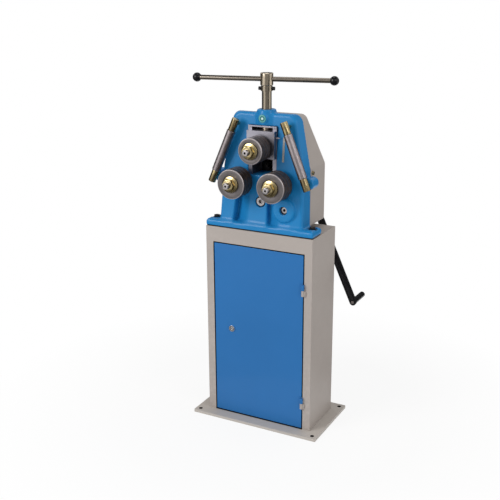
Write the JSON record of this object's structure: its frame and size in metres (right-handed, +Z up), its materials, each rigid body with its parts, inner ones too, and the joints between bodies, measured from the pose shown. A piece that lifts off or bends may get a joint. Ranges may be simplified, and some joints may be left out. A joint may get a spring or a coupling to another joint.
{
  "type": "angle roll bender",
  "caption": "Hand-cranked three-roll bender on a floor cabinet: a screw presses the upper roll down onto the bar while a geared crank turns the lower rolls.",
  "frame": {"origin": "centre of the base plate's underside, on the floor", "axes": "+Z up, -Y to the front where the rolls and the door are, +X to the right as seen from the front"},
  "size_m": [0.5209, 0.4141, 1.218],
  "materials": {
    "beige_paint": "satin beige-grey enamel",
    "blue_paint": "gloss blue enamel on cast iron",
    "door_paint": "satin blue enamel on sheet steel",
    "dark_steel": "dull dark steel",
    "black_fasteners": "black oxide",
    "machined_steel": "ground bare steel",
    "bronze": "plain bronze",
    "yellow_zinc": "yellow passivated zinc on steel",
    "bright_steel": "turned bright steel",
    "zinc_plate": "clear zinc plate with a warm tint",
    "scale_plate": "matt printed strip",
    "lock_chrome": "polished chrome",
    "roll_steel": "dark hardened steel with turned faces",
    "gear_steel": "oiled cut steel",
    "black_paint": "gloss black enamel",
    "black_plastic": "polished black plastic",
    "sleeve_steel": "turned grey steel"
  },
  "bodies": {
    "frame": {"base_plate": "beige_paint", "cabinet_shell": "beige_paint", "head_plate": "dark_steel", "main_casting": "blue_paint", "casting_bolts": "black_fasteners", "casting_washers": "black_fasteners", "slide_rails": "machined_steel", "window_strip": "machined_steel", "spindle_nut": "bronze", "gear_cover": "beige_paint", "cover_screws": "yellow_zinc", "lower_roll_bushes": "bronze", "crank_bushes": "bronze", "idler_axle": "bright_steel", "idler_screw": "bright_steel", "scale_strip": "scale_plate", "guide_axles": "bright_steel", "guide_end_blocks": "yellow_zinc", "hinge_frame_leaves": "beige_paint", "hinge_pins": "bright_steel"},
    "door": {"door_panel": "door_paint", "hinge_door_leaves": "door_paint", "lock_body": "lock_chrome"},
    "lock": {"lock_cylinder": "lock_chrome", "lock_cam": "lock_chrome"},
    "slide": {"slide_block": "machined_steel", "slide_back_plate": "dark_steel", "slide_back_screws": "black_fasteners", "upper_roll_bush": "bronze", "spindle_pins": "machined_steel", "thrust_pad": "bronze", "slide_pointer": "machined_steel"},
    "spindle": {"spindle": "zinc_plate", "handle_hub": "zinc_plate", "stop_collar": "zinc_plate", "stop_collar_screws": "black_fasteners"},
    "handle_bar": {"cross_bar": "zinc_plate", "ball_knobs": "black_plastic"},
    "upper_roll": {"upper_roll_shaft": "bright_steel", "upper_roll_rings": "roll_steel", "upper_roll_washer": "yellow_zinc", "upper_roll_nut": "yellow_zinc", "upper_roll_retainer": "dark_steel"},
    "right_roll": {"right_roll_shaft": "bright_steel", "right_roll_rings": "roll_steel", "right_roll_washer": "yellow_zinc", "right_roll_nut": "yellow_zinc", "right_roll_gear": "gear_steel"},
    "left_roll": {"left_roll_shaft": "bright_steel", "left_roll_rings": "roll_steel", "left_roll_washer": "yellow_zinc", "left_roll_nut": "yellow_zinc", "left_roll_gear": "gear_steel"},
    "idler": {"idler_gear": "gear_steel"},
    "crank": {"crank_shaft": "bright_steel", "crank_arm": "black_paint", "crank_pin": "bright_steel"},
    "grip": {"crank_grip": "black_plastic"},
    "right_guide": {"guide_sleeve_right": "sleeve_steel"},
    "left_guide": {"guide_sleeve_left": "sleeve_steel"}
  },
  "joints": [
    {"name": "door_hinge", "type": "hinge", "parent": "frame", "child": "door", "pos_m": [0.16975, -0.1003, 0.317], "axis": [0, 0, 1], "range_deg": [0, 110]},
    {"name": "lock_turn", "type": "hinge", "parent": "door", "child": "lock", "pos_m": [-0.102, -0.095, 0.337], "axis": [0, -1, 0], "range_deg": [0, 90]},
    {"name": "press_slide", "type": "slide", "parent": "frame", "child": "slide", "axis": [0, 0, 1], "range_m": [-0.0501, 0.0081]},
    {"name": "spindle_turn", "type": "hinge", "parent": "slide", "child": "spindle", "pos_m": [0, -0.029, 1.1], "axis": [0, 0, 1], "range_deg": [-3000, 480]},
    {"name": "bar_slide", "type": "slide", "parent": "spindle", "child": "handle_bar", "axis": [0.9848, 0.1736, 0], "range_m": [-0.185, 0.203]},
    {"name": "upper_roll_spin", "type": "hinge", "parent": "slide", "child": "upper_roll", "pos_m": [0, -0.1, 0.981], "axis": [0, 1, 0], "continuous": true},
    {"name": "right_roll_spin", "type": "hinge", "parent": "frame", "child": "right_roll", "pos_m": [0.072, -0.1, 0.8665], "axis": [0, 1, 0], "continuous": true},
    {"name": "left_roll_spin", "type": "hinge", "parent": "frame", "child": "left_roll", "pos_m": [-0.072, -0.1, 0.8665], "axis": [0, 1, 0], "continuous": true},
    {"name": "idler_spin", "type": "hinge", "parent": "frame", "child": "idler", "pos_m": [0, 0.03, 0.80076], "axis": [0, 1, 0], "continuous": true},
    {"name": "crank_turn", "type": "hinge", "parent": "frame", "child": "crank", "pos_m": [0.09123, 0.1, 0.78319], "axis": [0, 1, 0], "continuous": true},
    {"name": "grip_spin", "type": "hinge", "parent": "crank", "child": "grip", "pos_m": [0.25711, 0.18, 0.41921], "axis": [0, 1, 0], "continuous": true},
    {"name": "right_guide_spin", "type": "hinge", "parent": "frame", "child": "right_guide", "pos_m": [0.131, -0.08558, 0.964], "axis": [-0.3875, 0.0386, 0.9211], "continuous": true},
    {"name": "left_guide_spin", "type": "hinge", "parent": "frame", "child": "left_guide", "pos_m": [-0.131, -0.08558, 0.964], "axis": [0.3875, 0.0386, 0.9211], "continuous": true}
  ],
  "couplings": [
    {"joint": "press_slide", "follows": "spindle_turn", "m_per_rad": 0.00095493},
    {"joint": "left_roll_spin", "follows": "right_roll_spin", "ratio": 1},
    {"joint": "idler_spin", "follows": "right_roll_spin", "ratio": -1.6},
    {"joint": "crank_turn", "follows": "right_roll_spin", "ratio": -2.3529}
  ]
}
